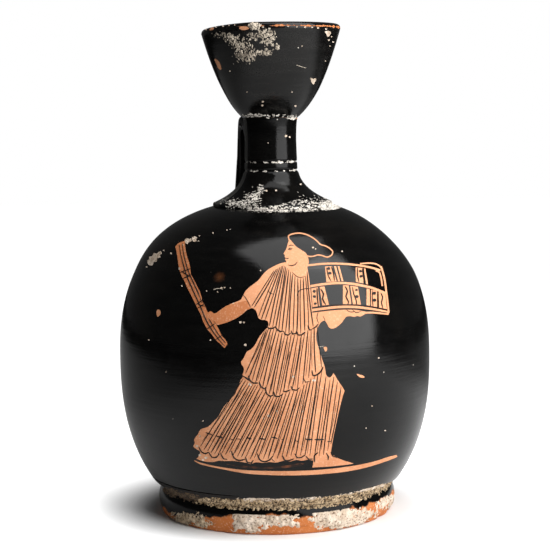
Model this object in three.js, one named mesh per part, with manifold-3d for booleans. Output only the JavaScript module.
// A squat lekythos: a small oil flask of fired clay, with a round body on a low ring foot, a slim neck,
// a bell mouth and one strap handle behind the neck. It is made as a potter makes it: foot, body, neck and
// mouth are thrown as separate pieces, the handle is pulled as a strap, and soft clay lutes them together.
// Millimetres, +Z up. The origin is on the table, on the wheel axis. The handle is at +Y, the front at -Y.
import * as THREE from "three";
import { mergeVertices } from "three/addons/utils/BufferGeometryUtils.js";
import Module from "manifold-3d";

const wasm = await Module();
wasm.setup();

// Driving dimensions of the body, whose outline is a superellipse.
const bellyRadius = 57.8; // widest part of the body
const bellyHeight = 58; // from the table to the widest part
const domeRise = 58; // from the widest part to where the shoulder dome would close
const bowlClose = 7.5; // how far under the table the bowl would close, if the foot didn't cut it
const domeFullness = 2.43; // 2 is an ellipse, more is squarer
const bowlFullness = 2.42;
const bodyWall = 4;
const floorThickness = 6;

// Driving dimensions of the ring foot.
const footHeight = 10.4; // from the table to the seam under the body
const waistTuck = 1.5; // how far the seam is drawn in from the line of the bowl
const waistRise = 2.8; // height above the seam over which the bowl is drawn in
const footSwell = 1.25; // how far the round edge stands out past the seam
const footTaper = 0.2; // how far the resting edge is drawn in from the seam
const footRingWidth = 10; // width of the resting face
const baseDrop = 5; // how deep the body's base sits in the ring
const footSeatWidth = 10.4; // width of the dished seat for the base

// Driving dimensions of the neck.
const neckHeight = 30; // from the top of the shoulder dome to the mouth
const neckRadius = 9.1; // outside of the tube
const neckBore = 5.5; // inside of the tube
const neckTopFlare = 0.9; // how much wider the tube is under the mouth
const neckTopFlareHeight = 8;
const skirtRadius = 22; // where the flared base ends on the shoulder
const skirtEdge = 0.7; // thickness of the flared base at its rim
const skirtHeight = 12.4; // from the rim of the flared base to where the tube begins
const skirtTopStep = 0.5; // how much wider the flared base is at its top than the tube
const grooveHeights = [14.9, 11.8]; // two turned grooves, above the rim of the flared base
const grooveWidth = 0.9;
const grooveDepth = 0.4;
const shoulderHole = 6.5; // radius of the hole in the shoulder under the neck

// Driving dimensions of the mouth.
const mouthHeight = 32.3; // from the seam to the sharp outer edge of the lip
const rimRadius = 25.9; // at that edge
const mouthBaseRadius = 10.2; // at the seam
const mouthSwell = 8.6; // radius that the wall gains near its base, before it rises
const mouthSwellHeight = 7;
const mouthWall = 3.2;
const lipRise = 1.7; // height of the rounded lip above its outer edge
const cupFloor = 2.5; // height of the cup's floor above the seam

// Driving dimensions of the strap handle.
const handleWidth = 18;
const handleNeckWidth = 14; // width where the strap leaves the neck
const handleThickness = 5;
const handleReach = 31.5; // from the axis to where the strap comes down on the shoulder
const handleDrop = 10; // from the mouth's seam down to where the strap leaves the neck
const handleArch = 11; // from the mouth's seam up to the pull of the arch
const handleFlare = 0.12; // share by which the strap widens at its top and at its root

// The luting clay: thin layers in the seams, and a smeared pad under each end of the handle.
const seamThickness = 0.6;
const seamRecess = 0.8; // how far a seam stays inside the outer surface
const padThickness = 1.2;
const padMargin = 0.6; // how far a pad shows round the strap
const clearance = 0.3; // between a cut piece and the surface that it is cut to

const facets = 48; // sides of a turned piece

// Heights that follow from the driving dimensions.
const bowlDrop = bellyHeight + bowlClose;
const shoulderTop = bellyHeight + domeRise;
const mouthSeam = shoulderTop + neckHeight;
const rimHeight = mouthSeam + mouthHeight;

// Height of the shoulder dome at a radius, for the outer surface or one grown or shrunk by an offset.
function domeHeight(radius, offset = 0) {
  const share = 1 - (radius / (bellyRadius + offset)) ** domeFullness;
  return bellyHeight + (domeRise + offset) * share ** (1 / domeFullness);
}

// Radius of the bowl below the belly at a height.
function bowlRadius(height, offset = 0) {
  const share = 1 - ((bellyHeight - height) / (bowlDrop + offset)) ** bowlFullness;
  return (bellyRadius + offset) * share ** (1 / bowlFullness);
}

// Outline of the bowl, from a height up to the belly.
function bowlOutline(fromHeight, offset, steps) {
  const rise = (bellyHeight - fromHeight) / (bowlDrop + offset);
  const start = Math.asin(rise ** (bowlFullness / 2));
  return Array.from({ length: steps }, (_, i) => {
    const drop = Math.sin(start * (1 - i / steps)) ** (2 / bowlFullness);
    const height = bellyHeight - (bowlDrop + offset) * drop;
    return new THREE.Vector2(bowlRadius(height, offset), height);
  });
}

// Outline of the shoulder dome, from the belly up to a radius.
function domeOutline(toRadius, offset, steps) {
  const end = Math.acos((toRadius / (bellyRadius + offset)) ** (domeFullness / 2));
  return Array.from({ length: steps + 1 }, (_, i) => {
    const radius = (bellyRadius + offset) * Math.cos((end * i) / steps) ** (2 / domeFullness);
    return new THREE.Vector2(radius, domeHeight(radius, offset));
  });
}

function curve(steps, ...points) {
  const ends = points.map(([radius, height]) => new THREE.Vector2(radius, height));
  return new THREE.QuadraticBezierCurve(...ends).getPoints(steps);
}

const raised = (points, height) => points.map((p) => new THREE.Vector2(p.x, p.y + height));
const widened = (points, radius) => points.map((p) => new THREE.Vector2(p.x + radius, p.y));
const reversed = (points) => [...points].reverse();
const at = (radius, height) => new THREE.Vector2(radius, height);

// Spins a profile round the axis. It runs counter-clockwise as drawn, with the radius to the right.
function revolve(points) {
  return new THREE.LatheGeometry(points, facets).rotateX(Math.PI / 2);
}

// Spins a profile that closes on itself.
const revolveLoop = (points) => revolve([...points, points[0]]);

// Seam surfaces that neighbours share, so that each layer of luting clay fills its seam.
const seatOuter = skirtRadius - seamRecess;
const seatSteps = 4;
const shoulderSeat = Array.from({ length: seatSteps + 1 }, (_, i) => {
  const radius = seatOuter + ((shoulderHole - seatOuter) * i) / seatSteps;
  return at(radius, domeHeight(radius));
});
const neckSeat = raised(shoulderSeat, seamThickness);
const footSeamRadius = bowlRadius(footHeight) - waistTuck;
const baseHeight = footHeight - baseDrop;
const baseFlatRadius = footSeamRadius - footSeatWidth;
const baseSlope = baseDrop / footSeatWidth;
const baseCone = (radius) => at(radius, baseHeight + (radius - baseFlatRadius) * baseSlope);
const footLutingOuter = footSeamRadius - seamRecess;
const baseSeat = [baseCone(baseFlatRadius), baseCone(footLutingOuter)];
const footSeat = raised(baseSeat, -seamThickness);
const neckTop = mouthSeam - seamThickness;
const neckTopRadius = neckRadius + neckTopFlare;

// The ring foot: a round outer edge, a flat resting face and a dished seat for the body's base.
function footShape() {
  const seam = at(footSeamRadius, footHeight - seamThickness);
  const restOuter = footSeamRadius - footTaper;
  const bulge = [footSeamRadius + 2 * footSwell + footTaper / 2, seam.y / 2];
  const edge = curve(6, [restOuter, 0], bulge, [seam.x, seam.y]);
  return revolveLoop([at(restOuter - footRingWidth, 0), ...edge, footSeat[1], footSeat[0]]);
}

// The body: one thrown wall from the base to the hole in the shoulder.
function bodyShape() {
  const insideFloor = baseHeight + floorThickness;
  const outside = [
    at(0, baseHeight),
    ...baseSeat,
    at(footSeamRadius, footHeight),
    ...bowlOutline(footHeight + waistRise, 0, 7),
    ...domeOutline(skirtRadius, 0, 9),
    ...shoulderSeat,
  ];
  const inside = [...bowlOutline(insideFloor, -bodyWall, 6), ...domeOutline(shoulderHole, -bodyWall, 9)];
  return revolve([...outside, ...reversed(inside), at(0, insideFloor)]);
}

function grooveNotch(height, radius) {
  return [
    at(radius, height - grooveWidth / 2),
    at(radius - grooveDepth, height),
    at(radius, height + grooveWidth / 2),
  ];
}

// Outside of the neck, from the rim of the flared base up to the seam under the mouth.
function neckOutside() {
  const rimTop = domeHeight(skirtRadius) + seamThickness + skirtEdge;
  const flareBend = [neckRadius + (skirtRadius - neckRadius) * 0.23, rimTop + skirtHeight * 0.41];
  const grooves = reversed(grooveHeights).flatMap((h) => grooveNotch(rimTop + h, neckRadius));
  const tubeStart = Math.min(rimTop + skirtHeight, grooves[0].y - grooveWidth);
  const topFlareStart = neckTop - neckTopFlareHeight;
  const topFlareBend = [neckRadius, neckTop - neckTopFlareHeight / 3];
  return [
    ...curve(5, [skirtRadius, rimTop], flareBend, [neckRadius + skirtTopStep, tubeStart]),
    ...grooves,
    ...curve(3, [neckRadius, topFlareStart], topFlareBend, [neckTopRadius, neckTop]),
  ];
}

// The neck: a tube with a flared base that sits on the shoulder.
function neckShape() {
  const skirtUnderside = at(skirtRadius, domeHeight(skirtRadius) + seamThickness);
  const bore = [at(neckBore, neckTop), at(neckBore, domeHeight(neckBore) + seamThickness)];
  return revolveLoop([...reversed(neckSeat), skirtUnderside, ...neckOutside(), ...bore]);
}

// Outside of the mouth, from the seam up to the sharp outer edge of the lip.
function mouthOutside() {
  const bend = [mouthBaseRadius + mouthSwell, mouthSeam + mouthSwellHeight];
  return curve(8, [mouthBaseRadius, mouthSeam], bend, [rimRadius, rimHeight]);
}

// The mouth: a bell-shaped cup with a rounded lip, open to the neck below.
function mouthShape() {
  const crest = at(rimRadius - mouthWall * 0.7, rimHeight + lipRise);
  const innerEdge = [rimRadius - mouthWall, crest.y - lipRise * 0.3];
  const lip = curve(3, [rimRadius, rimHeight], [rimRadius - lipRise * 0.1, crest.y], [crest.x, crest.y]);
  const cupSwell = mouthSwell - mouthWall * 0.55;
  const cupBend = [mouthBaseRadius + cupSwell, mouthSeam + mouthSwellHeight + mouthWall * 0.2];
  const cup = curve(7, innerEdge, cupBend, [neckBore, mouthSeam + cupFloor]);
  return revolveLoop([at(neckBore, mouthSeam), ...mouthOutside(), ...lip.slice(1), ...cup]);
}

// Layers of luting clay between two seam surfaces.
const footLutingShape = () => revolveLoop([...footSeat, ...reversed(baseSeat)]);
const neckLutingShape = () => revolveLoop([...reversed(shoulderSeat), ...neckSeat]);

function mouthLutingShape() {
  const outer = Math.min(neckTopRadius, mouthBaseRadius) - seamRecess / 2;
  const under = [at(neckBore, neckTop), at(outer, neckTop)];
  return revolveLoop([...under, ...reversed(raised(under, seamThickness))]);
}

// A closed geometry as a solid for cutting, and back.
function solid(geometry) {
  const bare = geometry.clone();
  bare.deleteAttribute("normal");
  bare.deleteAttribute("uv");
  const merged = mergeVertices(bare, 1e-4);
  const mesh = new wasm.Mesh({
    numProp: 3,
    vertProperties: merged.getAttribute("position").array,
    triVerts: new Uint32Array(merged.index.array),
  });
  return new wasm.Manifold(mesh);
}

function geometryOf(cut) {
  const { vertProperties, triVerts } = cut.getMesh();
  return new THREE.BufferGeometry()
    .setAttribute("position", new THREE.BufferAttribute(vertProperties, 3))
    .setIndex(new THREE.BufferAttribute(triVerts, 1));
}

// The whole strap before it is cut: a flat section with round edges, swept from inside the neck to inside
// the shoulder, narrow at the neck, and wider at its top and root. A margin makes it fatter all round.
function strap(margin) {
  const rootHeight = domeHeight(handleReach) - bodyWall * 0.8;
  const topHeight = mouthSeam - handleDrop;
  const path = new THREE.CubicBezierCurve3(
    new THREE.Vector3(0, neckBore, topHeight),
    new THREE.Vector3(0, handleReach * 0.7, mouthSeam + handleArch),
    new THREE.Vector3(0, handleReach, mouthSeam - handleDrop),
    new THREE.Vector3(0, handleReach, rootHeight),
  );
  const edgeRadius = handleThickness / 2 + margin;
  const flatHalf = (handleWidth - handleThickness) / 2;
  const section = new THREE.Shape();
  section.absarc(flatHalf, 0, edgeRadius, -Math.PI / 2, Math.PI / 2, false);
  section.absarc(-flatHalf, 0, edgeRadius, Math.PI / 2, (3 * Math.PI) / 2, false);
  const swept = new THREE.ExtrudeGeometry(section, { steps: 18, curveSegments: 5, extrudePath: path });
  swept.computeBoundingBox();
  const { min, max } = swept.boundingBox;
  const pinchStart = handleReach * 0.6;
  const position = swept.getAttribute("position");
  for (let i = 0; i < position.count; i++) {
    const toEnd = (2 * position.getZ(i) - max.z - min.z) / (max.z - min.z);
    const nearNeck = THREE.MathUtils.smoothstep(pinchStart - position.getY(i), 0, pinchStart - neckBore);
    const pinch = THREE.MathUtils.lerp(1, handleNeckWidth / handleWidth, nearNeck);
    position.setX(i, position.getX(i) * pinch * (1 + handleFlare * toEnd ** 4));
  }
  return solid(swept);
}

// Solid forms of the neighbours, grown by a gap, that the handle and its pads are cut to.
function neckForm(gap) {
  const outside = widened(neckOutside(), gap);
  return solid(revolve([at(0, outside[0].y), ...outside, at(0, neckTop)]));
}

function shoulderForm(gap) {
  const outside = domeOutline(skirtRadius / 2, gap, 16);
  return solid(revolve([at(0, bellyHeight), ...outside, at(0, shoulderTop + gap)]));
}

function mouthForm(gap) {
  const outside = widened(mouthOutside(), gap);
  const floor = neckTop - gap;
  return solid(revolve([at(0, floor), at(outside[0].x, floor), ...outside, at(0, rimHeight)]));
}

function handleShape() {
  const seat = 2 * clearance + padThickness;
  const cut = strap(0)
    .subtract(neckForm(seat))
    .subtract(shoulderForm(seat))
    .subtract(mouthForm(clearance));
  return geometryOf(cut);
}

// A pad of luting clay, smeared round one end of the strap on a surface that is given by its grown forms.
function padShape(form) {
  const layer = form(clearance + padThickness).subtract(form(clearance));
  return geometryOf(strap(padMargin).intersect(layer).subtract(mouthForm(clearance)));
}

const blackGloss = { color: 0x14120f, roughness: 0.32, metalness: 0 };
const bareClay = { color: 0xb5683c, roughness: 0.8, metalness: 0 };

const lekythos = new THREE.Group();
function add(name, geometry, finish) {
  const mesh = new THREE.Mesh(geometry, new THREE.MeshStandardMaterial(finish));
  mesh.name = name;
  lekythos.add(mesh);
}

add("foot", footShape(), blackGloss);
add("foot_luting", footLutingShape(), bareClay);
add("body", bodyShape(), blackGloss);
add("neck_luting", neckLutingShape(), bareClay);
add("neck", neckShape(), blackGloss);
add("mouth_luting", mouthLutingShape(), bareClay);
add("mouth", mouthShape(), blackGloss);
add("handle", handleShape(), blackGloss);
add("handle_top_luting", padShape(neckForm), bareClay);
add("handle_root_luting", padShape(shoulderForm), bareClay);

export default lekythos;
